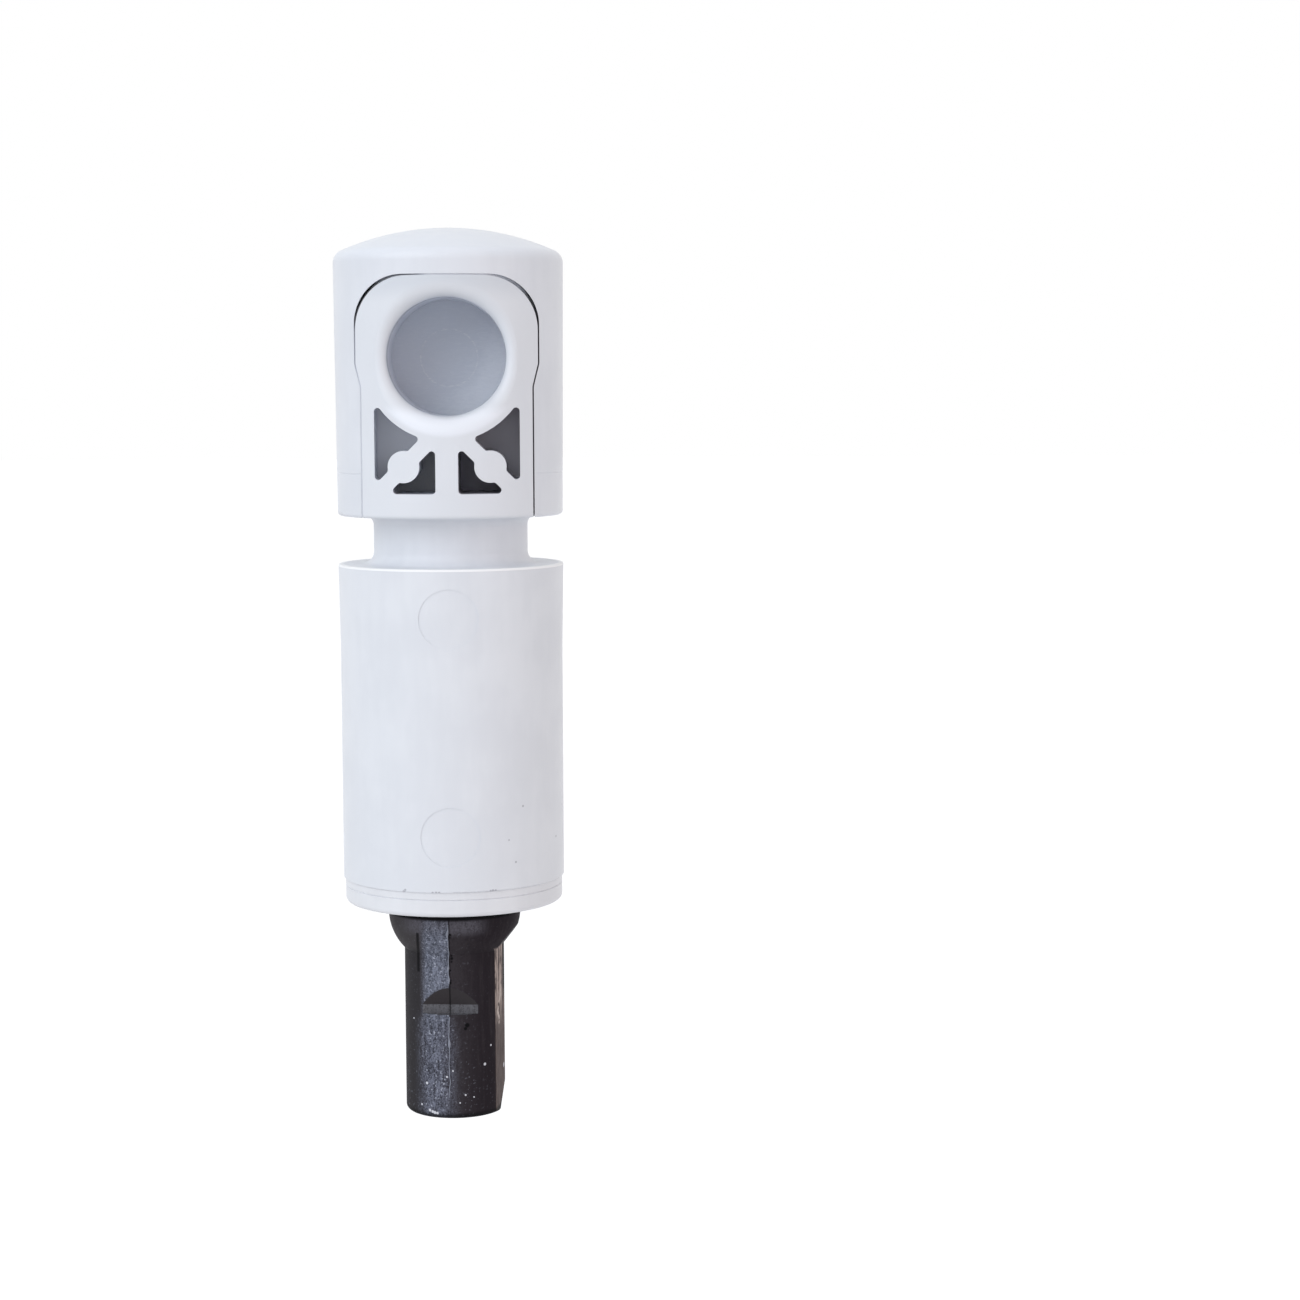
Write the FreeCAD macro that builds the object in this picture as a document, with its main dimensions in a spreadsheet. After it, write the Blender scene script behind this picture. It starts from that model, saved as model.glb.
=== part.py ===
import FreeCAD, Part
import math
import os
import re

import Sketcher
from FreeCAD import Placement, Rotation, Vector

# A rotary soft close damper: a white barrel with a cored-out head, and a black D-shaft below.
# The origin is where the pin socket's axis (along Y) crosses the damper's own axis (Z).
# The socket opens to the front (-Y), the dome is at the top and the shaft points down.

doc = FreeCAD.newDocument("soft_close_damper")

# Driving sizes in millimetres and degrees: name, value, what it measures
SIZES = (
    ("dome_rise", "11.5", "socket axis to the top of the dome"),
    ("dome_sphere", "23.5", "crown radius of the dome"),
    ("shoulder_round", "1.2", "round between the dome and the cover's side"),
    ("cover_overhang", "0.1", "how far the cover's open end stands out past the barrel's side"),
    ("cover_taper", "0.157", "how much further the cover stands out at the dome's rim"),
    ("cover_wall", "1.5", "wall of the cover"),
    ("cover_lip_round", "0.35", "round along the lower edge of the cover and the head plate"),
    ("cover_fit", "0.1", "radial room between the head's core and the cover"),
    ("parting_drop", "10.2", "socket axis to the cover's parting line"),
    ("parting_width", "0.12", "width of the parting line"),
    ("parting_depth", "0.04", "depth of the parting line"),
    ("window_band", "2.06", "dome's rim to the top of the cover's opening"),
    ("window_land", "0.425", "how far the opening's upper sides lie inside the core's side"),
    ("snap_step", "0.5", "how far each side of the opening steps in below the snap"),
    ("window_corner", "4.3", "upper corner radius of the opening"),
    ("snap_start", "0.6", "socket axis to the start of the snap's taper"),
    ("snap_end", "2.6", "socket axis to the end of the snap's taper"),
    ("seam_gap", "0.12", "gap between the opening and the head plate"),
    ("plate_corner", "4.6", "upper corner radius of the head plate"),
    ("head_drop", "14.05", "socket axis to the lower face of the head"),
    ("head_top_gap", "0.3", "room between the head's core and the dome"),
    ("socket_dia", "10.3", "bore of the pin socket"),
    ("socket_floor", "0.6", "how far the socket's floor lies behind the damper's axis"),
    ("socket_round", "1.4", "rolled rim of the socket at its top and bottom"),
    ("socket_side_round", "0.65", "rolled rim of the socket at its sides"),
    ("mark_dia", "5.2", "ejector mark on the socket's floor"),
    ("mark_depth", "0.08", "depth of that mark"),
    ("ring_wall", "2.18", "wall round the socket, up to where the cells begin"),
    ("cell_reach", "6.33", "damper axis to the outer side of the upper cells"),
    ("cell_drop", "11.87", "socket axis to the bottom of the lower cells"),
    ("upper_cell_floor", "3.2", "how far the upper cells' floors lie in front of the damper's axis"),
    ("lower_cell_floor", "1", "how far the lower cells' floors lie in front of the damper's axis"),
    ("cell_round", "0.32", "corner radius of the cells"),
    ("web_width", "1.96", "upright web between the lower cells"),
    ("bar_width", "1.37", "slanted bars between the cells"),
    ("bar_drop", "5.75", "socket axis to where the bars' centre lines meet"),
    ("pad_shift", "0.7", "how far the ejector pads lie outward of the middle of the bars' lower sides"),
    ("pad_dia", "2.78", "ejector pads on the bars"),
    ("neck_step", "3.08", "how far the neck lies inside the barrel's side"),
    ("neck_length", "4.34", "length of the neck"),
    ("neck_top_round", "0.9", "fillet under the head"),
    ("neck_base_round", "1.1", "fillet on the barrel's top"),
    ("barrel_dia", "20", "outside of the barrel"),
    ("barrel_length", "28.44", "length of the barrel"),
    ("barrel_edge", "0.12", "edge break at both ends of the barrel"),
    ("barrel_flare", "0.12", "how far the barrel's top stands out past its side"),
    ("barrel_flare_run", "7.5", "length over which the barrel widens to its top"),
    ("disc_dia", "5.25", "ejector discs on the front of the barrel"),
    ("disc_depth", "0.06", "depth of those discs"),
    ("upper_disc_drop", "4.37", "barrel's top to the upper disc"),
    ("lower_disc_rise", "4.92", "barrel's end to the lower disc"),
    ("barrel_wall", "2.1", "wall of the barrel round the oil chamber"),
    ("roof_thickness", "3.6", "barrel's top to the chamber's closed end"),
    ("running_fit", "0.06", "radial room round the journal and the pilot"),
    ("end_play", "0.1", "axial room at each end of the vanes"),
    ("rib_span", "30", "angle of each partition rib"),
    ("rib_gap", "0.08", "radial room between the ribs and the drum"),
    ("pilot_dia", "5", "pilot at the rotor's inner end"),
    ("pilot_length", "2", "length of the pilot"),
    ("pilot_end_gap", "0.2", "room above the pilot"),
    ("drum_dia", "8.4", "drum between the vanes"),
    ("vane_span", "13", "angle of each vane"),
    ("valve_span", "33", "angle of each valve clip"),
    ("clip_roof", "1.09", "thickness of a valve clip over its vane's tip"),
    ("clip_leg", "1.4", "how far a clip's legs reach down its vane's sides"),
    ("valve_float", "1.5", "angle by which a clip floats each way on its vane"),
    ("valve_gap", "0.06", "radial room between the clips and the chamber's wall"),
    ("valve_roof_gap", "0.15", "radial room between the clips and the vanes' tips"),
    ("bleed_height", "3", "height of each bleed notch in a clip"),
    ("bleed_depth", "0.8", "depth of the bleed notches in a clip's leg"),
    ("bleed_pitch", "10", "distance between a clip's two bleed notches"),
    ("stop_gap", "2", "angle left between a clip and a rib at either end of the travel"),
    ("rest_turn", "10.8", "angle by which the shaft's flat has turned to the front at rest"),
    ("washer_thickness", "0.7", "thickness of the thrust washer"),
    ("spigot_length", "2.7", "length of the end cap's spigot"),
    ("spigot_fit", "0.05", "radial room between the spigot and the barrel"),
    ("spigot_wall", "0.84", "wall of the spigot between its seal groove and the shaft's bearing"),
    ("cap_step", "0.17", "how far the end cap's rim lies inside the barrel's side"),
    ("cap_rim_height", "2.22", "height of that rim"),
    ("cap_round", "0.48", "round on the rim's lower edge"),
    ("cap_band", "0.67", "barrel's end to the fine line round the rim"),
    ("cap_line_width", "0.12", "width of that line"),
    ("cap_line_depth", "0.08", "depth of that line"),
    ("cap_mouth", "0.3", "chamfer round the shaft's hole"),
    ("cap_seal_section", "1", "section of the end cap's seal"),
    ("cap_seal_rise", "1.35", "barrel's end to the middle of the end cap's seal"),
    ("shaft_seal_section", "1", "section of the shaft's seal"),
    ("shaft_seal_rise", "1.75", "end cap's face to the middle of the shaft's seal"),
    ("seal_groove_room", "0.3", "width of a seal's groove beyond its section"),
    ("seal_fit", "0.02", "room left round a seal's section"),
    ("flare_lip", "0.95", "end cap's face to the start of the flare"),
    ("flare_radius", "4.9", "radius of the flare's curve"),
    ("shaft_dia", "9.18", "round of the D-shaft"),
    ("shaft_reach", "19.47", "end cap's face to the shaft's tip"),
    ("tip_round", "0.55", "round at the shaft's tip"),
    ("flat_depth", "0.435", "depth of the drive flat below the shaft's round"),
    ("flat_run", "4.4", "end cap's face to the upper end of the flat"),
    ("flat_ramp", "38", "angle between the flat's run-out and the axis"),
    ("lead_length", "2.2", "length of the lead-in at the flat's lower end"),
    ("lead_depth", "0.9", "depth of the lead-in at the tip"),
    ("lead_turn", "25", "angle by which the lead-in lies further round than the flat, at its rear edge"),
    ("notch_run", "7.25", "end cap's face to the top of the catch notch"),
    ("notch_slope", "1.81", "length of the notch's sloping face"),
    ("notch_floor", "0.82", "length of the notch's floor"),
    ("notch_depth", "0.84", "depth of the notch"),
    ("notch_turn", "5.1", "angle by which the notch lies further round than square to the flat"),
    ("cut_room", "1", "how far a cut reaches past the surface that it opens"),
)

sheet = doc.addObject("Spreadsheet::Sheet", "Sizes")
for row, (alias, amount, meaning) in enumerate(SIZES, start=1):
    sheet.set(f"A{row}", meaning)
    sheet.set(f"B{row}", amount)
    sheet.setAlias(f"B{row}", alias)
doc.recompute()

ALIASES = {alias for alias, amount, meaning in SIZES}
FULL_TURN = 360
QUARTER_TURN = 90
# How near a point lies to a place that it is meant to be at, in millimetres
TOUCH = 0.01
EDGE_SAMPLES = 5

# Heights along the damper's axis, from the top down
HEAD_END = "(-head_drop)"
BARREL_TOP = f"({HEAD_END} - neck_length)"
BARREL_END = f"({BARREL_TOP} - barrel_length)"
CAP_FACE = f"({BARREL_END} - cap_rim_height)"
SHAFT_TIP = f"({CAP_FACE} - shaft_reach)"
CHAMBER_ROOF = f"({BARREL_TOP} - roof_thickness)"
SPIGOT_TOP = f"({BARREL_END} + spigot_length)"
WASHER_TOP = f"({SPIGOT_TOP} + washer_thickness)"
VANE_TOP = f"({CHAMBER_ROOF} - end_play)"
VANE_END = f"({WASHER_TOP} + end_play)"
ABOVE_JOURNAL = f"({VANE_END} + end_play)"
CAP_SEAL_MIDDLE = f"({BARREL_END} + cap_seal_rise)"
SHAFT_SEAL_MIDDLE = f"({CAP_FACE} + shaft_seal_rise)"

# Radii shared by pieces that fit one another, all worked out from the barrel's
BARREL_RADIUS = "(barrel_dia / 2)"
BARREL_TOP_RADIUS = f"({BARREL_RADIUS} + barrel_flare)"
COVER_END_RADIUS = f"({BARREL_RADIUS} + cover_overhang)"
COVER_TOP_RADIUS = f"({COVER_END_RADIUS} + cover_taper)"
CORE_RADIUS = f"({COVER_END_RADIUS} - cover_wall - cover_fit)"
NECK_RADIUS = f"({BARREL_RADIUS} - neck_step)"
CAP_RIM_RADIUS = f"({BARREL_RADIUS} - cap_step)"
CHAMBER_RADIUS = f"({BARREL_RADIUS} - barrel_wall)"
SPIGOT_RADIUS = f"({CHAMBER_RADIUS} - spigot_fit)"
BEARING_RADIUS = f"({CHAMBER_RADIUS} - cap_seal_section - spigot_wall)"
JOURNAL_RADIUS = f"({BEARING_RADIUS} - running_fit)"
VANE_RADIUS = f"({CHAMBER_RADIUS} - valve_gap - clip_roof - valve_roof_gap)"
CLIP_FOOT_RADIUS = f"({VANE_RADIUS} - clip_leg)"
SHAFT_RADIUS = "(shaft_dia / 2)"

# The dome's centre, and the rims where its two faces meet the cover's side
DOME_CENTRE = "(dome_rise - dome_sphere)"
DOME_RIM = f"({DOME_CENTRE} + sqrt(dome_sphere^2 - {COVER_TOP_RADIUS}^2))"
INNER_RIM = f"({DOME_CENTRE} + sqrt((dome_sphere - cover_wall)^2 - ({COVER_TOP_RADIUS} - cover_wall)^2))"
TAPER_RATE = f"(cover_taper / ({DOME_RIM} + head_drop))"

# The cover's opening, above and below its snap
WINDOW_TOP = f"({DOME_RIM} - window_band)"
WINDOW_HALF = f"({CORE_RADIUS} - window_land)"
WINDOW_LOWER_HALF = f"({WINDOW_HALF} - snap_step)"

# At rest each vane stands clear of its rib by the stop gap and the valve clip's float
VANE_TURN = "(rib_span / 2 + stop_gap + valve_float + valve_span / 2)"


def bound(formula):
    """The formula with each size's name pointing at its cell."""
    return re.sub(r"[a-z_]+", lambda m: f"Sizes.{m[0]}" if m[0] in ALIASES else m[0], formula)


def value(formula):
    """What the formula gives for the sizes as they stand."""
    return float(sheet.evalExpression(bound(formula)))


def new_body(label):
    body = doc.addObject("PartDesign::Body", label)
    body.Label = label
    return body


def origin_feature(body, role):
    return next(feature for feature in body.Origin.OriginFeatures if feature.Role == role)


def line_to(across, along):
    """A straight side that ends at this point."""
    return across, along, None, 0


def right_arc_to(across, along, radius):
    """A round side that ends at this point, with its centre to the right of the way there."""
    return across, along, radius, 1


def left_arc_to(across, along, radius):
    """A round side that ends at this point, with its centre to the left of the way there."""
    return across, along, radius, -1


def arc_between(start, end, radius, side):
    """The short arc from start to end; its own direction is always anticlockwise."""
    half = (end - start) / 2
    to_right = Vector(half.y, -half.x, 0).normalize()
    centre = start + half + to_right * side * math.sqrt(radius**2 - half.Length**2)
    first, last = (end, start) if side > 0 else (start, end)
    angles = [math.atan2(point.y - centre.y, point.x - centre.x) for point in (first, last)]
    return Part.ArcOfCircle(Part.Circle(centre, Vector(0, 0, 1), radius), *angles)


def draw_outline(sketch, sides):
    """Add a closed outline, with every corner placed and every arc sized by its formulas."""
    first = sketch.GeometryCount
    corners = [Vector(value(across), value(along), 0) for across, along, radius, side in sides]
    # Numbers of the points where a side starts and ends: a clockwise arc is held back to front
    ends = [(2, 1) if side > 0 else (1, 2) for across, along, radius, side in sides]
    for index, (across, along, radius, side) in enumerate(sides):
        if radius is None:
            sketch.addGeometry(Part.LineSegment(corners[index - 1], corners[index]))
        else:
            sketch.addGeometry(arc_between(corners[index - 1], corners[index], value(radius), side))
    for index, (across, along, radius, side) in enumerate(sides):
        here, end = first + index, ends[index][1]
        after = (index + 1) % len(sides)
        sketch.addConstraint(Sketcher.Constraint("Coincident", here, end, first + after, ends[after][0]))
        for kind, formula, axis in (("DistanceX", across, -2), ("DistanceY", along, -1)):
            if formula == "0":
                sketch.addConstraint(Sketcher.Constraint("PointOnObject", here, end, axis))
                continue
            number = sketch.addConstraint(Sketcher.Constraint(kind, -1, 1, here, end, value(formula)))
            sketch.setExpression(f"Constraints[{number}]", bound(formula))
        if radius is not None:
            number = sketch.addConstraint(Sketcher.Constraint("Radius", here, value(radius)))
            sketch.setExpression(f"Constraints[{number}]", bound(radius))


def draw_circle(sketch, diameter):
    """Add a circle about the sketch's own origin."""
    centre = Vector(0, 0, 0)
    index = sketch.addGeometry(Part.Circle(centre, Vector(0, 0, 1), value(diameter) / 2))
    sketch.addConstraint(Sketcher.Constraint("Coincident", index, 3, -1, 1))
    number = sketch.addConstraint(Sketcher.Constraint("Diameter", index, value(diameter)))
    sketch.setExpression(f"Constraints[{number}]", bound(diameter))


def new_sketch(body, name, role, behind=None, turned=None):
    """A sketch on an origin plane, moved behind it or turned about the vertical axis."""
    sketch = body.newObject("Sketcher::SketchObject", name)
    sketch.AttachmentSupport = [(origin_feature(body, role), "")]
    sketch.MapMode = "FlatFace"
    if turned:
        sketch.AttachmentOffset = Placement(Vector(), Rotation(Vector(0, 1, 0), value(turned)))
        sketch.setExpression("AttachmentOffset.Rotation.Angle", bound(turned))
    if behind:
        sketch.setExpression("AttachmentOffset.Base.z", bound(f"-({behind})"))
    return sketch


def outline_sketch(body, name, role, *outlines, behind=None, turned=None):
    sketch = new_sketch(body, name, role, behind, turned)
    for sides in outlines:
        draw_outline(sketch, sides)
    return sketch


def revolved(body, kind, name, sketch, span=None):
    """Turn a profile about the damper's axis, all the way round or evenly over a span."""
    feature = body.newObject(f"PartDesign::{kind}", name)
    feature.Profile = sketch
    feature.ReferenceAxis = (sketch, ["V_Axis"])
    if span:
        feature.Midplane = True
        feature.setExpression("Angle", bound(span))
    doc.recompute()
    return feature


def cut_to_front(body, name, sketch):
    """Cut a front outline from its own plane out through the front."""
    pocket = body.newObject("PartDesign::Pocket", name)
    pocket.Profile = sketch
    pocket.Type = "ThroughAll"
    pocket.Reversed = True
    doc.recompute()
    return pocket


def cut_across(body, name, sketch):
    """Cut a side outline right through, to both sides of its plane."""
    pocket = body.newObject("PartDesign::Pocket", name)
    pocket.Profile = sketch
    pocket.Type = "ThroughAll"
    pocket.Midplane = True
    doc.recompute()
    return pocket


def opposite_pair(body, name, feature):
    """Repeat a feature on the opposite side of the damper's axis."""
    pattern = body.newObject("PartDesign::PolarPattern", name)
    pattern.Originals = [feature]
    pattern.Axis = (origin_feature(body, "Z_Axis"), [""])
    pattern.Angle = FULL_TURN
    pattern.Occurrences = 2
    body.Tip = pattern
    doc.recompute()
    return pattern


def rounded(body, name, radius, chosen):
    """Round the edges of the body so far whose points all pass a test."""
    base = body.Tip
    names = [f"Edge{index}" for index, edge in enumerate(base.Shape.Edges, start=1)
             if not edge.Degenerated and all(chosen(point) for point in edge.discretize(EDGE_SAMPLES))]
    fillet = body.newObject("PartDesign::Fillet", name)
    fillet.Base = (base, names)
    fillet.setExpression("Radius", bound(radius))
    doc.recompute()
    return fillet


def near(first, second):
    return abs(first - second) < TOUCH


def front_outline(half_wide, half_narrow, top, corner, bottom):
    """The U outline shared by the cover's opening and the head plate, clockwise from below."""
    return (
        line_to(f"-({half_narrow})", bottom),
        line_to(f"-({half_narrow})", "-snap_end"),
        line_to(f"-({half_wide})", "-snap_start"),
        line_to(f"-({half_wide})", f"{top} - {corner}"),
        right_arc_to(f"{corner} - ({half_wide})", top, corner),
        line_to(f"{half_wide} - {corner}", top),
        right_arc_to(half_wide, f"{top} - {corner}", corner),
        line_to(half_wide, "-snap_start"),
        line_to(half_narrow, "-snap_end"),
        line_to(half_narrow, bottom),
    )


def build_head_cover():
    """The domed sleeve that slides over the head, with its opening at the front."""
    body = new_body("head_cover")
    shell = outline_sketch(body, "cover_profile", "XZ_Plane", (
        line_to("0", "dome_rise"),
        right_arc_to(COVER_TOP_RADIUS, DOME_RIM, "dome_sphere"),
        line_to(COVER_END_RADIUS, HEAD_END),
        line_to(f"{COVER_END_RADIUS} - cover_wall", HEAD_END),
        line_to(f"{COVER_TOP_RADIUS} - cover_wall", INNER_RIM),
        left_arc_to("0", "dome_rise - cover_wall", "dome_sphere - cover_wall"),
    ))
    revolved(body, "Revolution", "cover_shell", shell)
    rim_radius, rim_height = value(COVER_TOP_RADIUS), value(DOME_RIM)
    end_radius, end_height = value(COVER_END_RADIUS), value(HEAD_END)
    rounded(body, "cover_shoulder", "shoulder_round",
            lambda point: near(point.z, rim_height) and near(Vector(point.x, point.y, 0).Length, rim_radius))
    rounded(body, "cover_lip", "cover_lip_round",
            lambda point: near(point.z, end_height) and near(Vector(point.x, point.y, 0).Length, end_radius))
    parting_radius = f"({COVER_END_RADIUS} + {TAPER_RATE} * (head_drop - parting_drop))"
    parting = outline_sketch(body, "parting_profile", "XZ_Plane", (
        line_to(f"{parting_radius} - parting_depth", "-parting_drop"),
        line_to(f"{parting_radius} + parting_depth", "-parting_drop + parting_width"),
        line_to(f"{parting_radius} + parting_depth", "-parting_drop - parting_width"),
    ))
    revolved(body, "Groove", "parting_line", parting)
    window = outline_sketch(body, "window_outline", "XZ_Plane", front_outline(
        WINDOW_HALF, WINDOW_LOWER_HALF, WINDOW_TOP, "window_corner", f"{HEAD_END} - cut_room"))
    cut_to_front(body, "window", window)
    return body


def build_cell_cores():
    """The four core pins that leave the cells in the head, with rounded corners."""
    ring = "(socket_dia / 2 + ring_wall)"
    pad = "(pad_dia / 2)"
    upper_drop = "(bar_drop - bar_width / sqrt(2))"
    lower_drop = "(bar_drop + bar_width / sqrt(2))"
    lower_reach = f"(cell_drop - {lower_drop})"
    pad_reach = f"((web_width / 2 + {lower_reach}) / 2 + pad_shift)"
    pad_height = f"(-{pad_reach} - bar_drop)"
    # Along a 45 degree bar, half its width and half the pad's chord split evenly into x and z
    across_bar = "(bar_width / 2 / sqrt(2))"
    along_bar = "(sqrt((pad_dia / 2)^2 - (bar_width / 2)^2) / sqrt(2))"
    inner_tip = f"((sqrt(2 * {ring}^2 - {upper_drop}^2) - {upper_drop}) / 2)"
    upper_cell = (
        left_arc_to("cell_reach", f"-sqrt({ring}^2 - cell_reach^2)", ring),
        line_to("cell_reach", f"-cell_reach - {upper_drop}"),
        line_to(f"{pad_reach} + {across_bar} + {along_bar}", f"{pad_height} + {across_bar} - {along_bar}"),
        left_arc_to(f"{pad_reach} + {across_bar} - {along_bar}",
                    f"{pad_height} + {across_bar} + {along_bar}", pad),
        line_to(inner_tip, f"-{inner_tip} - {upper_drop}"),
    )
    lower_cell = (
        line_to("web_width / 2", f"-web_width / 2 - {lower_drop}"),
        line_to("web_width / 2", "-cell_drop"),
        line_to(lower_reach, "-cell_drop"),
        line_to(f"{pad_reach} - {across_bar} + {along_bar}", f"{pad_height} - {across_bar} - {along_bar}"),
        right_arc_to(f"{pad_reach} - {across_bar} - {along_bar}",
                     f"{pad_height} - {across_bar} + {along_bar}", pad),
    )
    body = new_body("cell_cores")
    pins = []
    for name, sides, floor in (("upper_pin", upper_cell, "upper_cell_floor"),
                               ("lower_pin", lower_cell, "lower_cell_floor")):
        outline = outline_sketch(body, f"{name}_outline", "XZ_Plane", sides, behind=f"-{floor}")
        pin = body.newObject("PartDesign::Pad", name)
        pin.Profile = outline
        pin.setExpression("Length", bound(f"{COVER_TOP_RADIUS} + cut_room - {floor}"))
        doc.recompute()
        pins.append(pin)
    upright = [f"Edge{index}" for index, edge in enumerate(body.Shape.Edges, start=1)
               if near(edge.BoundBox.XLength, 0) and near(edge.BoundBox.ZLength, 0)]
    corners = body.newObject("PartDesign::Fillet", "cell_corners")
    corners.Base = (pins[-1], upright)
    # The rounds stay within the short side beside each pad
    short_side = f"({lower_reach} - {pad_reach} + {across_bar} - {along_bar})"
    corners.setExpression("Radius", bound(f"min(cell_round; {short_side} / 2)"))
    doc.recompute()
    mirrored = body.newObject("PartDesign::Mirrored", "left_cores")
    mirrored.Originals = [*pins, corners]
    mirrored.MirrorPlane = (origin_feature(body, "YZ_Plane"), [""])
    body.Tip = mirrored
    doc.recompute()
    return body


def build_socket_core():
    """The core pin that leaves the pin socket, in four quarters."""
    body = new_body("socket_core")
    radius = "(socket_dia / 2)"
    outline = outline_sketch(body, "socket_outline", "XZ_Plane", (
        right_arc_to("0", radius, radius),
        right_arc_to(radius, "0", radius),
        right_arc_to("0", f"-{radius}", radius),
        right_arc_to(f"-{radius}", "0", radius),
    ), behind="socket_floor")
    core = body.newObject("PartDesign::Pad", "socket_pin")
    core.Profile = outline
    core.setExpression("Length", bound(f"socket_floor + {COVER_TOP_RADIUS} + cut_room"))
    core.Refine = False
    doc.recompute()
    return body


def build_housing():
    """Barrel, neck and head in one moulding, with the oil chamber open at the lower end."""
    body = new_body("housing_moulding")
    pilot_hole = "(pilot_dia / 2 + running_fit)"
    pilot_hole_top = f"({CHAMBER_ROOF} + pilot_length + pilot_end_gap)"
    core_top = f"({DOME_CENTRE} + sqrt((dome_sphere - cover_wall)^2 - {CORE_RADIUS}^2) - head_top_gap)"
    turned = outline_sketch(body, "housing_profile", "XZ_Plane", (
        line_to("0", core_top),
        line_to(CORE_RADIUS, core_top),
        line_to(CORE_RADIUS, HEAD_END),
        line_to(f"{NECK_RADIUS} + neck_top_round", HEAD_END),
        left_arc_to(NECK_RADIUS, f"{HEAD_END} - neck_top_round", "neck_top_round"),
        line_to(NECK_RADIUS, f"{BARREL_TOP} + neck_base_round"),
        left_arc_to(f"{NECK_RADIUS} + neck_base_round", BARREL_TOP, "neck_base_round"),
        line_to(f"{BARREL_TOP_RADIUS} - barrel_edge", BARREL_TOP),
        right_arc_to(BARREL_TOP_RADIUS, f"{BARREL_TOP} - barrel_edge", "barrel_edge"),
        line_to(BARREL_RADIUS, f"{BARREL_TOP} - barrel_flare_run"),
        line_to(BARREL_RADIUS, f"{BARREL_END} + barrel_edge"),
        right_arc_to(f"{BARREL_RADIUS} - barrel_edge", BARREL_END, "barrel_edge"),
        line_to(CHAMBER_RADIUS, BARREL_END),
        line_to(CHAMBER_RADIUS, CHAMBER_ROOF),
        line_to(pilot_hole, CHAMBER_ROOF),
        line_to(pilot_hole, pilot_hole_top),
        line_to("0", pilot_hole_top),
    ))
    revolved(body, "Revolution", "barrel_neck_core", turned)

    # The head plate stands out of the core to the same tapered surface as the cover
    plate = outline_sketch(body, "plate_outline", "XZ_Plane", front_outline(
        f"({WINDOW_HALF} - seam_gap)", f"({WINDOW_LOWER_HALF} - seam_gap)", f"({WINDOW_TOP} - seam_gap)",
        "plate_corner", HEAD_END))
    pad = body.newObject("PartDesign::Pad", "head_plate")
    pad.Profile = plate
    pad.setExpression("Length", bound(f"{COVER_TOP_RADIUS} + cut_room"))
    doc.recompute()
    beyond = f"(2 * {COVER_TOP_RADIUS})"
    trim = outline_sketch(body, "plate_trim_profile", "XZ_Plane", (
        line_to(f"{COVER_END_RADIUS} - {TAPER_RATE} * cut_room", f"{HEAD_END} - cut_room"),
        line_to(COVER_TOP_RADIUS, DOME_RIM),
        line_to(beyond, DOME_RIM),
        line_to(beyond, f"{HEAD_END} - cut_room"),
    ))
    revolved(body, "Groove", "plate_face", trim)
    end_radius, end_height = value(COVER_END_RADIUS), value(HEAD_END)
    rounded(body, "plate_lip", "cover_lip_round",
            lambda point: near(point.z, end_height) and near(Vector(point.x, point.y, 0).Length, end_radius))

    mark = new_sketch(body, "mark_outline", "XZ_Plane", behind="socket_floor + mark_depth")
    draw_circle(mark, "mark_dia")
    cut_to_front(body, "ejector_mark", mark)

    # Two opposite ribs divide the chamber; each reaches into the wall and the closed end
    rib = outline_sketch(body, "rib_profile", "XZ_Plane", (
        line_to("drum_dia / 2 + rib_gap", ABOVE_JOURNAL),
        line_to("drum_dia / 2 + rib_gap", f"{CHAMBER_ROOF} + cut_room"),
        line_to(f"{CHAMBER_RADIUS} + cut_room", f"{CHAMBER_ROOF} + cut_room"),
        line_to(f"{CHAMBER_RADIUS} + cut_room", ABOVE_JOURNAL),
    ))
    right_rib = revolved(body, "Revolution", "right_rib", rib, span="rib_span")
    opposite_pair(body, "partition_ribs", right_rib)

    socketed = doc.addObject("Part::Cut", "pin_socket")
    socketed.Base = body
    socketed.Tool = build_socket_core()
    socketed.Refine = False
    doc.recompute()
    # The rim is rolled more at its top and bottom than at its sides
    socket_radius = value("socket_dia / 2")
    rim = doc.addObject("Part::Fillet", "socket_rim")
    rim.Base = socketed
    rim.Edges = [
        (index, *(value("socket_round" if near(end.X, 0) else "socket_side_round") for end in edge.Vertexes))
        for index, edge in enumerate(socketed.Shape.Edges, start=1)
        if all(point.y < 0 and near(Vector(point.x, 0, point.z).Length, socket_radius)
               for point in edge.discretize(EDGE_SAMPLES))]
    doc.recompute()

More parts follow.
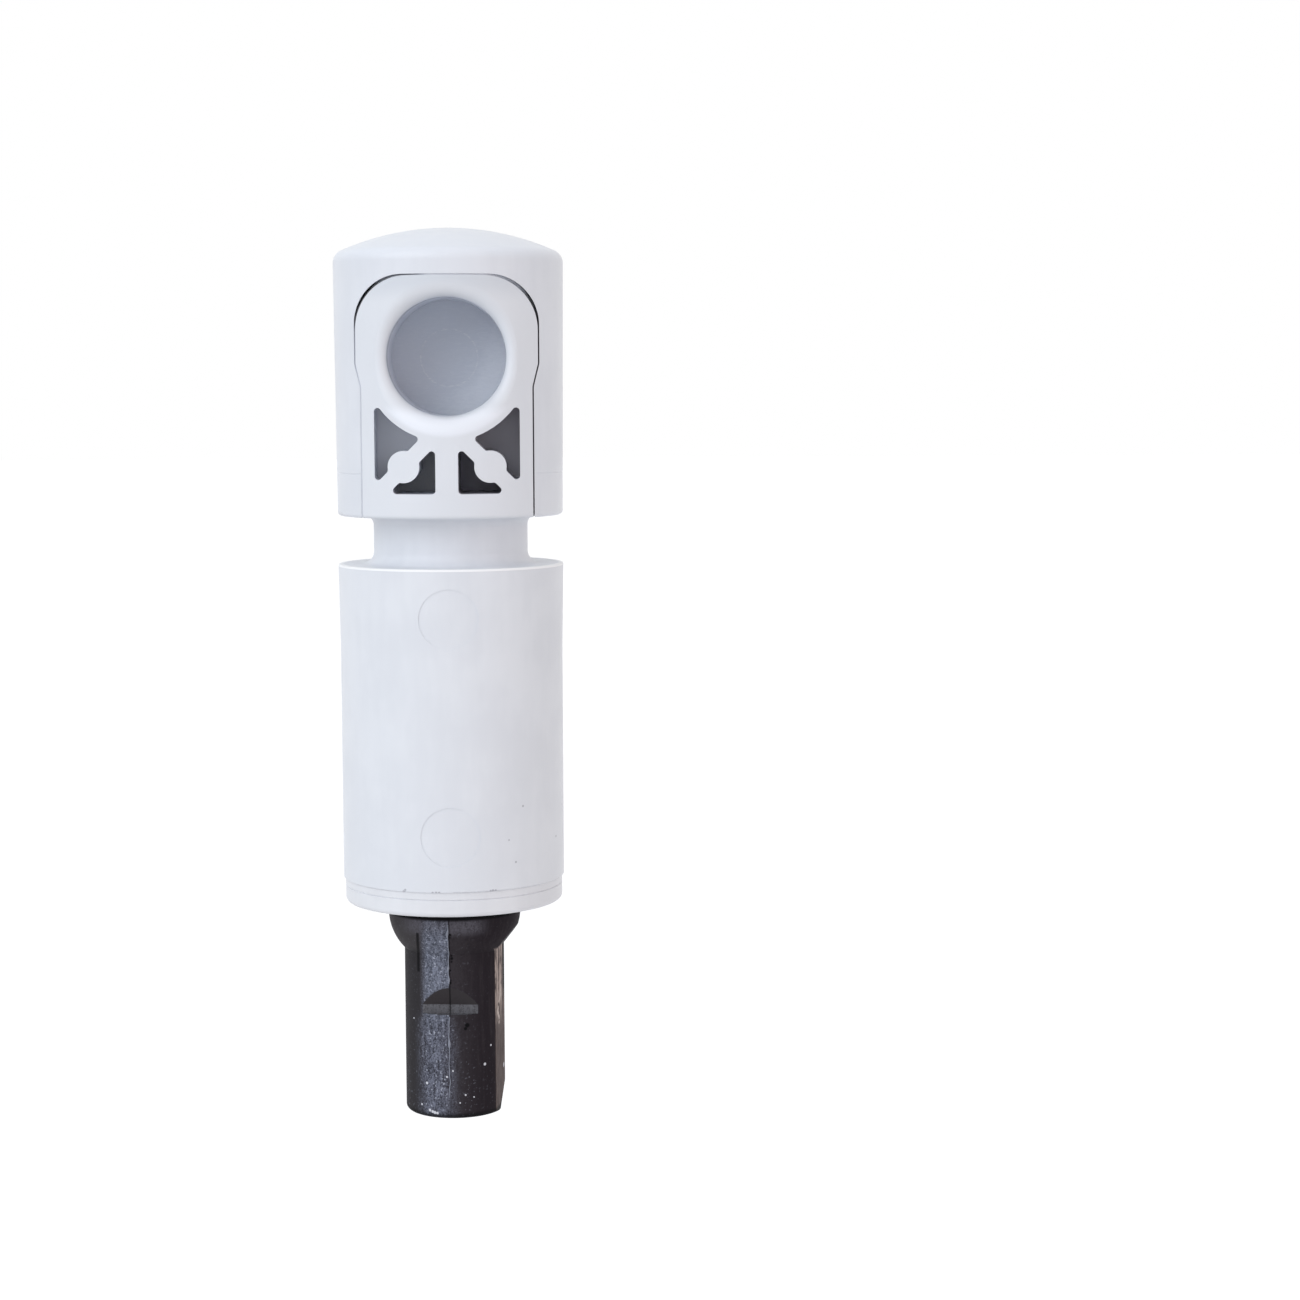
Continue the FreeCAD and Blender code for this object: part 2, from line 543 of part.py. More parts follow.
    # Shallow ejector discs on the barrel's front follow its curve
    discs = []
    for name, height in (("upper_disc", f"{BARREL_TOP} - upper_disc_drop"),
                         ("lower_disc", f"{BARREL_END} + lower_disc_rise")):
        disc = doc.addObject("Part::Cylinder", name)
        disc.Placement = Placement(Vector(), Rotation(Vector(1, 0, 0), QUARTER_TURN))
        disc.setExpression("Radius", bound("disc_dia / 2"))
        disc.setExpression("Height", bound(f"{BARREL_TOP_RADIUS} + cut_room"))
        disc.setExpression("Placement.Base.z", bound(height))
        discs.append(disc)
    both_discs = doc.addObject("Part::Fuse", "both_discs")
    both_discs.Base, both_discs.Tool = discs
    inside = new_body("barrel_inside")
    disc_floor = outline_sketch(inside, "disc_floor_profile", "XZ_Plane", (
        line_to("0", BARREL_TOP),
        line_to(f"{BARREL_TOP_RADIUS} - disc_depth", BARREL_TOP),
        line_to(f"{BARREL_RADIUS} - disc_depth", f"{BARREL_TOP} - barrel_flare_run"),
        line_to(f"{BARREL_RADIUS} - disc_depth", BARREL_END),
        line_to("0", BARREL_END),
    ))
    revolved(inside, "Revolution", "disc_floors", disc_floor)
    recess = doc.addObject("Part::Cut", "disc_recess")
    recess.Base = both_discs
    recess.Tool = inside
    marked = doc.addObject("Part::Cut", "marked_moulding")
    marked.Base = rim
    marked.Tool = recess
    housing = doc.addObject("Part::Cut", "housing")
    housing.Base = marked
    housing.Tool = build_cell_cores()
    doc.recompute()
    return housing


def build_end_cap():
    """The ring welded to the barrel's end, with a spigot, a seal groove and the shaft's bearing."""
    body = new_body("end_cap")
    groove_floor = f"({CHAMBER_RADIUS} - cap_seal_section)"
    groove_half = "((cap_seal_section + seal_groove_room) / 2)"
    line_middle = f"({BARREL_END} - cap_band)"
    profile = outline_sketch(body, "cap_profile", "XZ_Plane", (
        line_to(BEARING_RADIUS, SPIGOT_TOP),
        line_to(SPIGOT_RADIUS, SPIGOT_TOP),
        line_to(SPIGOT_RADIUS, f"{CAP_SEAL_MIDDLE} + {groove_half}"),
        line_to(groove_floor, f"{CAP_SEAL_MIDDLE} + {groove_half}"),
        line_to(groove_floor, f"{CAP_SEAL_MIDDLE} - {groove_half}"),
        line_to(SPIGOT_RADIUS, f"{CAP_SEAL_MIDDLE} - {groove_half}"),
        line_to(SPIGOT_RADIUS, BARREL_END),
        line_to(CAP_RIM_RADIUS, BARREL_END),
        line_to(CAP_RIM_RADIUS, f"{line_middle} + cap_line_width / 2"),
        line_to(f"{CAP_RIM_RADIUS} - cap_line_depth", line_middle),
        line_to(CAP_RIM_RADIUS, f"{line_middle} - cap_line_width / 2"),
        line_to(CAP_RIM_RADIUS, f"{CAP_FACE} + cap_round"),
        right_arc_to(f"{CAP_RIM_RADIUS} - cap_round", CAP_FACE, "cap_round"),
        line_to(f"{BEARING_RADIUS} + cap_mouth", CAP_FACE),
        line_to(BEARING_RADIUS, f"{CAP_FACE} + cap_mouth"),
    ))
    revolved(body, "Revolution", "cap_ring", profile)
    return body


def build_rotor_shaft():
    """D-shaft, flare, journal, drum, vanes and pilot in one moulding, turned to its place at rest."""
    body = new_body("rotor_shaft")
    groove_floor = f"({BEARING_RADIUS} - shaft_seal_section)"
    groove_half = "((shaft_seal_section + seal_groove_room) / 2)"
    flare_top = f"({CAP_FACE} - flare_lip)"
    flare_end = f"({flare_top} - sqrt(flare_radius^2 - (flare_radius - {JOURNAL_RADIUS} + {SHAFT_RADIUS})^2))"
    profile = outline_sketch(body, "rotor_profile", "XZ_Plane", (
        line_to("0", f"{CHAMBER_ROOF} + pilot_length"),
        line_to("pilot_dia / 2", f"{CHAMBER_ROOF} + pilot_length"),
        line_to("pilot_dia / 2", VANE_TOP),
        line_to("drum_dia / 2", VANE_TOP),
        line_to("drum_dia / 2", VANE_END),
        line_to(JOURNAL_RADIUS, VANE_END),
        line_to(JOURNAL_RADIUS, f"{SHAFT_SEAL_MIDDLE} + {groove_half}"),
        line_to(groove_floor, f"{SHAFT_SEAL_MIDDLE} + {groove_half}"),
        line_to(groove_floor, f"{SHAFT_SEAL_MIDDLE} - {groove_half}"),
        line_to(JOURNAL_RADIUS, f"{SHAFT_SEAL_MIDDLE} - {groove_half}"),
        line_to(JOURNAL_RADIUS, flare_top),
        right_arc_to(SHAFT_RADIUS, flare_end, "flare_radius"),
        line_to(SHAFT_RADIUS, f"{SHAFT_TIP} + tip_round"),
        right_arc_to(f"{SHAFT_RADIUS} - tip_round", SHAFT_TIP, "tip_round"),
        line_to("0", SHAFT_TIP),
    ))
    revolved(body, "Revolution", "turned_form", profile)

    vane = outline_sketch(body, "vane_profile", "XZ_Plane", (
        line_to("drum_dia / 2 - cut_room", VANE_END),
        line_to("drum_dia / 2 - cut_room", VANE_TOP),
        line_to(VANE_RADIUS, VANE_TOP),
        line_to(VANE_RADIUS, VANE_END),
    ), turned=f"{VANE_TURN} + rest_turn")
    right_vane = revolved(body, "Revolution", "right_vane", vane, span="vane_span")
    opposite_pair(body, "vanes", right_vane)

    # The flat is on the shaft's right, with a run-out above and a lead-in at its rear corner
    flat_top = f"({CAP_FACE} - flat_run)"
    flat_offset = f"({SHAFT_RADIUS} - flat_depth)"
    beyond = f"({JOURNAL_RADIUS} + cut_room)"
    flat = outline_sketch(body, "flat_profile", "XZ_Plane", (
        line_to(flat_offset, flat_top),
        line_to(flat_offset, f"{SHAFT_TIP} - cut_room"),
        line_to(beyond, f"{SHAFT_TIP} - cut_room"),
        line_to(beyond, f"{flat_top} + ({beyond} - {flat_offset}) / tan(flat_ramp)"),
    ))
    cut_across(body, "drive_flat", flat)
    lead = outline_sketch(body, "lead_profile", "XZ_Plane", (
        line_to(f"{SHAFT_RADIUS} + cut_room", f"{SHAFT_TIP} + lead_length * (1 + cut_room / lead_depth)"),
        line_to(f"{SHAFT_RADIUS} - lead_depth * (1 + cut_room / lead_length)", f"{SHAFT_TIP} - cut_room"),
        line_to(f"{SHAFT_RADIUS} + cut_room", f"{SHAFT_TIP} - cut_room"),
    ), turned="lead_turn")
    cut_across(body, "flat_lead", lead)

    # The catch notch is on the shaft's front: a sloping face, a floor and a ledge
    notch_top = f"({CAP_FACE} - notch_run)"
    notch_end = f"({notch_top} - notch_slope - notch_floor)"
    notch_offset = f"({SHAFT_RADIUS} - notch_depth)"
    notch = outline_sketch(body, "notch_profile", "YZ_Plane", (
        line_to(f"-{notch_offset}", f"{notch_top} - notch_slope"),
        line_to(f"-{notch_offset}", notch_end),
        line_to(f"-{SHAFT_RADIUS} - cut_room", notch_end),
        line_to(f"-{SHAFT_RADIUS} - cut_room", f"{notch_top} + cut_room * notch_slope / notch_depth"),
    ), turned="notch_turn")
    cut_across(body, "catch_notch", notch)
    body.setExpression("Placement.Rotation.Angle", bound(f"{FULL_TURN} - rest_turn"))
    return body


def build_vane_valve(label, turn):
    """A clip over one vane's tip, floating a little each way, with bleed notches in one leg."""
    body = new_body(label)
    clip = outline_sketch(body, "clip_profile", "XZ_Plane", (
        line_to(CLIP_FOOT_RADIUS, ABOVE_JOURNAL),
        line_to(CLIP_FOOT_RADIUS, VANE_TOP),
        line_to(f"{CHAMBER_RADIUS} - valve_gap", VANE_TOP),
        line_to(f"{CHAMBER_RADIUS} - valve_gap", ABOVE_JOURNAL),
    ))
    revolved(body, "Revolution", "clip", clip, span="valve_span")
    slot = outline_sketch(body, "slot_profile", "XZ_Plane", (
        line_to(f"{CLIP_FOOT_RADIUS} - cut_room", f"{VANE_END} - cut_room"),
        line_to(f"{CLIP_FOOT_RADIUS} - cut_room", f"{VANE_TOP} + cut_room"),
        line_to(f"{VANE_RADIUS} + valve_roof_gap", f"{VANE_TOP} + cut_room"),
        line_to(f"{VANE_RADIUS} + valve_roof_gap", f"{VANE_END} - cut_room"),
    ))
    revolved(body, "Groove", "vane_slot", slot, span="vane_span + 2 * valve_float")
    middle = f"({VANE_TOP} + {VANE_END}) / 2"
    bleeds = []
    for side in ("-", "+"):
        bottom = f"{middle} {side} bleed_pitch / 2 - bleed_height / 2"
        bleeds.append((
            line_to(f"{CLIP_FOOT_RADIUS} - cut_room", bottom),
            line_to(f"{CLIP_FOOT_RADIUS} - cut_room", f"{bottom} + bleed_height"),
            line_to(f"{CLIP_FOOT_RADIUS} + bleed_depth", f"{bottom} + bleed_height"),
            line_to(f"{CLIP_FOOT_RADIUS} + bleed_depth", bottom),
        ))
    notches = outline_sketch(body, "bleed_profiles", "XZ_Plane", *bleeds)
    bleed = body.newObject("PartDesign::Groove", "bleed_notches")
    bleed.Profile = notches
    bleed.ReferenceAxis = (notches, ["V_Axis"])
    bleed.setExpression("Angle", bound("valve_span"))
    body.setExpression("Placement.Rotation.Angle", bound(turn))
    doc.recompute()
    return body


def build_ring_seal(label, radius, section, height):
    """A round ring seal that fills its groove to a small fit."""
    seal = doc.addObject("Part::Torus", label)
    seal.setExpression("Radius1", bound(radius))
    seal.setExpression("Radius2", bound(f"{section} / 2 - seal_fit"))
    seal.setExpression("Placement.Base.z", bound(height))
    return seal


def build_thrust_washer():
    """The washer that lies on the end cap's spigot and carries the vanes."""
    body = new_body("thrust_washer")
    profile = outline_sketch(body, "washer_profile", "XZ_Plane", (
        line_to(BEARING_RADIUS, SPIGOT_TOP),
        line_to(BEARING_RADIUS, WASHER_TOP),
        line_to(SPIGOT_RADIUS, WASHER_TOP),
        line_to(SPIGOT_RADIUS, SPIGOT_TOP),
    ))
    revolved(body, "Revolution", "washer", profile)
    return body


sub_parts = [
    build_housing(),
    build_head_cover(),
    build_end_cap(),
    build_rotor_shaft(),
    build_vane_valve("vane_valve_right", VANE_TURN),
    build_vane_valve("vane_valve_left", f"{VANE_TURN} + {FULL_TURN / 2}"),
    build_ring_seal("cap_seal", f"{CHAMBER_RADIUS} - cap_seal_section / 2", "cap_seal_section",
                    CAP_SEAL_MIDDLE),
    build_ring_seal("shaft_seal", f"{BEARING_RADIUS} - shaft_seal_section / 2", "shaft_seal_section",
                    SHAFT_SEAL_MIDDLE),
    build_thrust_washer(),
]
doc.recompute()

for item in doc.Objects:
    if {"Invalid", "Error"} & set(item.State):
        raise RuntimeError(f"{item.Label} did not build: {item.State}")
for piece in sub_parts:
    if piece.Shape.isNull() or not piece.Shape.isValid():
        raise RuntimeError(f"{piece.Label} has no valid shape")

os.makedirs("parts", exist_ok=True)
for piece in sub_parts:
    piece.Shape.exportStep(os.path.join("parts", f"{piece.Label}.step"))
    print(f"{piece.Label}: {piece.Shape.Volume / 1000:.3f} cm3, {len(piece.Shape.Solids)} solid")
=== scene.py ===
import math

import bpy
import numpy as np
from mathutils import Euler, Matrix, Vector


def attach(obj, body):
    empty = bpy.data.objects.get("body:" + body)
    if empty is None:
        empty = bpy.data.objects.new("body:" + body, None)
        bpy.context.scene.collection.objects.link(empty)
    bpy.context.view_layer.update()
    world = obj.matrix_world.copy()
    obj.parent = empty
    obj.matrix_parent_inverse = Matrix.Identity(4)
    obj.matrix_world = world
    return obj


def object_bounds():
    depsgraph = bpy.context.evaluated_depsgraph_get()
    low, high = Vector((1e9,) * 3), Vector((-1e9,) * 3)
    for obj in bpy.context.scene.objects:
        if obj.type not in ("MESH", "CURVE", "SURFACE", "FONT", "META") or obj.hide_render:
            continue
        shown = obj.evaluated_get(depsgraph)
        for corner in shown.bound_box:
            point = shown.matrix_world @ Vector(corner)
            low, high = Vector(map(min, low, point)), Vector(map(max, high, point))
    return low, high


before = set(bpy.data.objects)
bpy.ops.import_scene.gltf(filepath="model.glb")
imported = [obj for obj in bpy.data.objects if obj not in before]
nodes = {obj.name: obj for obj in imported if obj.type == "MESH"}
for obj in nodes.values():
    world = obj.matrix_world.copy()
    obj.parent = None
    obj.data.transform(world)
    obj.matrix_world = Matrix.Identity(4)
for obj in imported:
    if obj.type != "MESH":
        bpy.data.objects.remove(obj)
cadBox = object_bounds()
print("frame loaded:", ", ".join(sorted(nodes)))

mm = 0.001  # one millimetre in scene units

# Sizes of the solids that the marks and the beads follow, in millimetres and degrees

solid = dict(barrel=10.0, shaft=4.59, journal=6.06, flareCurve=4.9, flareTop=-50.0,
             flatOut=4.11, flatTurn=-10.8)


def barrelRadius(z):
    # the barrel is straight, with one radius at every height
    return solid["barrel"]


def shaftRadius(z):
    # a quarter-round flare runs down from the journal until it meets the straight shaft
    drop = np.clip(solid["flareTop"] - z, 0.0, solid["flareCurve"])
    flare = solid["journal"] - solid["flareCurve"] + np.sqrt(solid["flareCurve"]**2 - drop**2)
    return np.maximum(flare, solid["shaft"])


def onFront(marks, radius):
    # marks give x, z and size; y is worked out so that each lies on the round front
    return [(x, -math.sqrt(radius(z)**2 - x**2), z, size) for x, z, size in marks]


def onFlat(marks):
    # marks give the distance along the drive flat, z and size
    turn = math.radians(solid["flatTurn"])
    out = solid["flatOut"]
    cosine, sine = math.cos(turn), math.sin(turn)
    return [(out * cosine - along * sine, out * sine + along * cosine, z, size) for along, z, size in marks]


# Node helpers shared by all the finishes

def startFinish(name):
    material = bpy.data.materials.new(name)
    material.use_nodes = True
    tree = material.node_tree
    shader = tree.nodes["Principled BSDF"]
    where = tree.nodes.new("ShaderNodeTexCoord")
    return material, tree, shader, where.outputs


def plug(tree, source, socket):
    # a constant goes on the socket itself, anything else is linked to it
    if isinstance(source, bpy.types.NodeSocket):
        tree.links.new(source, socket)
    else:
        socket.default_value = source


def noise(tree, vector, scale, detail=2.0, roughness=0.5, distortion=0.0):
    # scale counts features per millimetre
    node = tree.nodes.new("ShaderNodeTexNoise")
    plug(tree, vector, node.inputs["Vector"])
    node.inputs["Scale"].default_value = scale / mm
    node.inputs["Detail"].default_value = detail
    node.inputs["Roughness"].default_value = roughness
    node.inputs["Distortion"].default_value = distortion
    return node.outputs["Fac"]


def stretched(tree, vector, stretch):
    node = tree.nodes.new("ShaderNodeMapping")
    plug(tree, vector, node.inputs["Vector"])
    node.inputs["Scale"].default_value = stretch
    return node.outputs["Vector"]


def ramp(tree, value, low, high, lowOut=0.0, highOut=1.0):
    node = tree.nodes.new("ShaderNodeMapRange")
    node.interpolation_type = "SMOOTHSTEP"
    plug(tree, value, node.inputs["Value"])
    for socket, amount in zip(("From Min", "From Max", "To Min", "To Max"), (low, high, lowOut, highOut)):
        plug(tree, amount, node.inputs[socket])
    return node.outputs["Result"]


def fall(tree, value, low, high):
    # 1 up to the low end, 0 from the high end on
    return ramp(tree, value, low, high, 1.0, 0.0)


def between(tree, value, low, high, soft):
    # 1 inside the span, fading to 0 over the soft width beyond each end
    return times(tree, ramp(tree, value, low - soft, low), fall(tree, value, high, high + soft))


def calc(tree, operation, *terms):
    node = tree.nodes.new("ShaderNodeMath")
    node.operation = operation
    for term, socket in zip(terms, node.inputs):
        plug(tree, term, socket)
    return node.outputs["Value"]


def times(tree, first, *others):
    product = first
    for other in others:
        product = calc(tree, "MULTIPLY", product, other)
    return product


def weighted(tree, first, firstWeight, second, secondWeight):
    return calc(tree, "ADD", times(tree, first, firstWeight), times(tree, second, secondWeight))


def swapOver(tree, share, first, second):
    # the first number where share is 0, the second where it is 1
    firstPart = times(tree, first, calc(tree, "SUBTRACT", 1.0, share))
    return calc(tree, "ADD", firstPart, times(tree, second, share))


def distance(tree, first, second):
    return calc(tree, "SQRT", calc(tree, "ADD", times(tree, first, first), times(tree, second, second)))


def blendColours(tree, share, first, second):
    node = tree.nodes.new("ShaderNodeMix")
    node.data_type = "RGBA"
    plug(tree, share, node.inputs["Factor"])
    plug(tree, first, node.inputs[6])
    plug(tree, second, node.inputs[7])
    return node.outputs[2]


def bump(tree, height, depth, strength=1.0, onto=None):
    # depth is the height in millimetres of the difference between 0 and 1
    node = tree.nodes.new("ShaderNodeBump")
    node.inputs["Strength"].default_value = strength
    node.inputs["Distance"].default_value = depth * mm
    plug(tree, height, node.inputs["Height"])
    if onto is not None:
        plug(tree, onto, node.inputs["Normal"])
    return node.outputs["Normal"]


def splitAxes(tree, vector):
    node = tree.nodes.new("ShaderNodeSeparateXYZ")
    plug(tree, vector, node.inputs["Vector"])
    return node.outputs


def millimetres(tree, place):
    # the piece's own x, y and z in millimetres and the distance from its axis
    x, y, z = splitAxes(tree, stretched(tree, place, (1 / mm, 1 / mm, 1 / mm)))
    return x, y, z, distance(tree, x, y)


def spots(tree, place, marks):
    # marks list x, y, z and radius in millimetres; 1 in a mark's inner half, 0 outside all of them
    found = 0.0
    for *middle, radius in marks:
        away = tree.nodes.new("ShaderNodeVectorMath")
        away.operation = "DISTANCE"
        plug(tree, place, away.inputs[0])
        away.inputs[1].default_value = [part * mm for part in middle]
        mark = fall(tree, away.outputs["Value"], 0.5 * radius * mm, radius * mm)
        found = calc(tree, "MAXIMUM", found, mark)
    return found


# White mouldings: cool satin acetal, each piece a touch different, with a few faint grey specks

whiteFinishes = {
    "housing": dict(colour=(0.758, 0.782, 0.828, 1), shade=(0.718, 0.742, 0.790, 1), gloss=0.40, specks=(
        (-4.16, -46.78, 0.20), (-4.05, -46.62, 0.14), (-1.62, -46.79, 0.15), (-1.32, -46.79, 0.17),
        (-1.05, -46.78, 0.15), (3.45, -46.76, 0.14), (3.66, -46.75, 0.18), (3.90, -46.74, 0.14),
        (6.35, -39.49, 0.13), (5.10, -42.37, 0.10), (5.69, -44.40, 0.13), (9.27, -42.85, 0.14),
        (9.84, -40.25, 0.12))),
    "head_cover": dict(colour=(0.748, 0.772, 0.824, 1), shade=(0.710, 0.735, 0.788, 1), gloss=0.34,
                       specks=()),
    "end_cap": dict(colour=(0.775, 0.790, 0.826, 1), shade=(0.728, 0.742, 0.780, 1), gloss=0.42, specks=(
        (7.89, -46.90, 0.20),)),
}
whiteSkin = dict(
    clouds=0.16, flow=0.9, flowStretch=(1.0, 1.0, 0.22), cloudShare=0.7, flowShare=0.3, mottle=(0.38, 0.64),
    flowSpan=(0.3, 0.7), polish=-0.05, dullness=0.06, refraction=1.46, glow=0.06, glowDepth=0.5,
    grain=7.0, grainDepth=0.006, waveDepth=0.10, relief=0.5, speck=(0.45, 0.46, 0.50, 1),
)
edgeHighlightLook = dict(height=(-18.56, -18.30, 0.06), reach=(9.6, 9.8), colour=(0.93, 0.94, 0.96, 1))
plateShadeLook = dict(height=(-14.4, -14.0, 0.0, 0.7), colour=(0.725, 0.750, 0.798, 1))
crownLightLook = dict(height=(8.2, 9.6, 0.0, 0.8), colour=(0.80, 0.84, 0.91, 1))

# The seam's walls are painted dark below the skin where it gapes, as painted shade in the gap: down the
# right side and at the left of the arch

seamShadeLook = dict(right=(7.0, 7.2), left=(-6.2, -5.8), arch=(1.6, 6.2, 0.8), skin=(9.80, 9.98),
                front=(-3.0, -2.5), head=(-13.80, 7.5, 0.1), colour=(0.020, 0.020, 0.024, 1))


def seamShadeTint(tree, x, y, z, reach, tint, look):
    right = ramp(tree, x, *look["right"])
    leftArch = times(tree, fall(tree, x, *look["left"]), between(tree, z, *look["arch"]))
    below = times(tree, fall(tree, reach, *look["skin"]), fall(tree, y, *look["front"]))
    gape = times(tree, calc(tree, "MAXIMUM", right, leftArch), below, between(tree, z, *look["head"]))
    # painted shade inside the gaping seam
    return blendColours(tree, gape, tint, look["colour"])


# The rolled rim is painted darker above the socket as painted shade, and paler below it as painted light

rimShadingLook = dict(topBore=(5.8, 6.8), topHeight=(4.4, 6.6), dull=(0.640, 0.672, 0.725, 1),
               lowBore=(5.6, 6.6, 0.5), lowHeight=(-5.2, -4.0), pale=(0.830, 0.860, 0.925, 1))


def rimShadingTint(tree, z, bore, tint, look):
    above = times(tree, ramp(tree, bore, *look["topBore"]), ramp(tree, z, *look["topHeight"]))
    # the dull colour above the socket is painted shade
    tint = blendColours(tree, above, tint, look["dull"])
    below = times(tree, between(tree, bore, *look["lowBore"]), fall(tree, z, *look["lowHeight"]))
    # the pale colour below the socket is painted light
    return blendColours(tree, below, tint, look["pale"])


# The socket: a bore painted darker as painted shade of its depth, with a brushed floor painted paler to the
# lower right as painted light, an ejector pin's faint ring, and a painted shadow line round its mouth

socketShadingLook = dict(
    rightShare=0.8, upShare=-0.6, slant=(0.0, 5.0), floor=(2.4, 3.6, 0.35, 1.0),
    brush=3.2, brushStretch=(0.5, 1.0, 1.6), brushed=(0.3, 0.7, -0.22, 0.22),
    ring=(2.52, 2.60, 0.06), ringWorn=(0.42, 0.62, 0.0, 0.42), ringColour=(0.93, 0.94, 0.96, 1),
    mouthShadow=(5.10, 5.20, 0.03), mouthDepth=(-8.4, -7.0, 0.2), mouthShadowColour=(0.36, 0.39, 0.46, 1),
    wall=(5.12, 5.30), dull=(0.655, 0.690, 0.765, 1), pale=(0.775, 0.805, 0.865, 1),
)


def socketShadingTint(tree, place, x, y, z, bore, tint, look):
    slant = weighted(tree, x, look["rightShare"], z, look["upShare"])
    pale = times(tree, ramp(tree, slant, *look["slant"]), ramp(tree, bore, *look["floor"]))
    brush = noise(tree, stretched(tree, place, look["brushStretch"]), look["brush"],
                  detail=4.0, roughness=0.7, distortion=0.6)
    pale = calc(tree, "ADD", pale, ramp(tree, brush, *look["brushed"]))
    # the bore's dull colour is painted shade and its pale colour painted light
    inside = blendColours(tree, pale, look["dull"], look["pale"])
    ring = times(tree, between(tree, bore, *look["ring"]), ramp(tree, brush, *look["ringWorn"]))
    inside = blendColours(tree, ring, inside, look["ringColour"])
    # painted shadow along the bore's mouth
    mouthShadow = times(tree, between(tree, bore, *look["mouthShadow"]), between(tree, y, *look["mouthDepth"]))
    inside = blendColours(tree, mouthShadow, inside, look["mouthShadowColour"])
    return blendColours(tree, fall(tree, bore, *look["wall"]), tint, inside)


# Inside the open cells, painted light and shade: floors painted pale and bluish on the left, painted darker
# on the right and paler low on the right, with walls painted dark as painted shade

cellShadingLook = dict(
    height=(-12.2, -4.2, 0.1), reach=(8.6, 9.1), depth=(-1.0, -0.8), middle=(-0.5, 0.5), lower=(6.2, 6.6),
    wall=(0.3, 0.6), left=(0.870, 0.890, 0.955, 1), right=(0.500, 0.490, 0.545, 1),
    rightLow=(0.60, 0.595, 0.70, 1), wallLeft=(0.70, 0.72, 0.78, 1), wallRight=(0.46, 0.455, 0.50, 1),
)


def cellShadingTint(tree, x, y, z, reach, facing, tint, look):
    within = times(tree, between(tree, z, *look["height"]), fall(tree, reach, *look["reach"]),
                   fall(tree, y, *look["depth"]))
    right = ramp(tree, x, *look["middle"])
    lower = ramp(tree, weighted(tree, x, -1.0, z, -1.0), *look["lower"])
    rightTint = blendColours(tree, lower, look["right"], look["rightLow"])
    floors = blendColours(tree, right, look["left"], rightTint)
    walls = blendColours(tree, right, look["wallLeft"], look["wallRight"])
    upright = fall(tree, calc(tree, "ABSOLUTE", facing), *look["wall"])
    # the cells' floors and walls carry painted light and shade over the moulding's own white
    return blendColours(tree, within, tint, blendColours(tree, upright, floors, walls))


def housingTint(tree, place, facing, x, y, z, reach, tint):
    # the barrel's upper edge is painted bright as a painted highlight, and the head is painted a touch
    # darker than the barrel as painted shade
    # painted highlight along the barrel's upper edge
    edge = times(tree, between(tree, z, *edgeHighlightLook["height"]), ramp(tree, reach, *edgeHighlightLook["reach"]))
    tint = blendColours(tree, edge, tint, edgeHighlightLook["colour"])
    # painted shade over the head, which is the same plastic as the barrel
    tint = blendColours(tree, ramp(tree, z, *plateShadeLook["height"]), tint, plateShadeLook["colour"])
    tint = cellShadingTint(tree, x, y, z, reach, facing, tint, cellShadingLook)
    bore = distance(tree, x, z)
    tint = rimShadingTint(tree, z, bore, tint, rimShadingLook)
    tint = socketShadingTint(tree, place, x, y, z, bore, tint, socketShadingLook)
    return seamShadeTint(tree, x, y, z, reach, tint, seamShadeLook)


def coverTint(tree, x, y, z, reach, tint):
    # the dome's crown is painted paler as painted light
    tint = blendColours(tree, ramp(tree, z, *crownLightLook["height"]), tint, crownLightLook["colour"])
    return seamShadeTint(tree, x, y, z, reach, tint, seamShadeLook)


def whiteMoulding(nodeName, look, skin):
    material, tree, shader, where = startFinish(f"{nodeName}_white")
    place = where["Object"]
    x, y, z, reach = millimetres(tree, place)
    clouds = noise(tree, place, skin["clouds"], detail=3.0)
    flow = noise(tree, stretched(tree, place, skin["flowStretch"]), skin["flow"], detail=2.0)
    mottle = weighted(tree, clouds, skin["cloudShare"], flow, skin["flowShare"])
    tint = blendColours(tree, ramp(tree, mottle, *skin["mottle"]), look["shade"], look["colour"])
    if nodeName == "housing":
        facing = splitAxes(tree, where["Normal"])["Y"]
        tint = housingTint(tree, place, facing, x, y, z, reach, tint)
    if nodeName == "head_cover":
        tint = coverTint(tree, x, y, z, reach, tint)
    if look["specks"]:
        specks = spots(tree, place, onFront(look["specks"], barrelRadius))
        tint = blendColours(tree, specks, tint, skin["speck"])
    plug(tree, tint, shader.inputs["Base Color"])
    glossy, dull = look["gloss"] + skin["polish"], look["gloss"] + skin["dullness"]
    plug(tree, ramp(tree, flow, *skin["flowSpan"], glossy, dull), shader.inputs["Roughness"])
    shader.inputs["IOR"].default_value = skin["refraction"]
    shader.inputs["Subsurface Weight"].default_value = skin["glow"]
    shader.inputs["Subsurface Radius"].default_value = (1.0, 1.0, 1.0)
    shader.inputs["Subsurface Scale"].default_value = skin["glowDepth"] * mm
    grain = noise(tree, place, skin["grain"], detail=3.0, roughness=0.6)
    fineRelief = bump(tree, grain, skin["grainDepth"], skin["relief"])
    plug(tree, bump(tree, clouds, skin["waveDepth"], skin["relief"], fineRelief), shader.inputs["Normal"])
    return material


def dress(nodeName, material):
    nodes[nodeName].data.materials.clear()
    nodes[nodeName].data.materials.append(material)


for nodeName, look in whiteFinishes.items():
    dress(nodeName, whiteMoulding(nodeName, look, whiteSkin))
print("white finishes done")


# Black shaft: glass-filled plastic with a grainy band left of its parting line whose pale bluish colour is a
# painted reflection of the key lamp, darker on the right

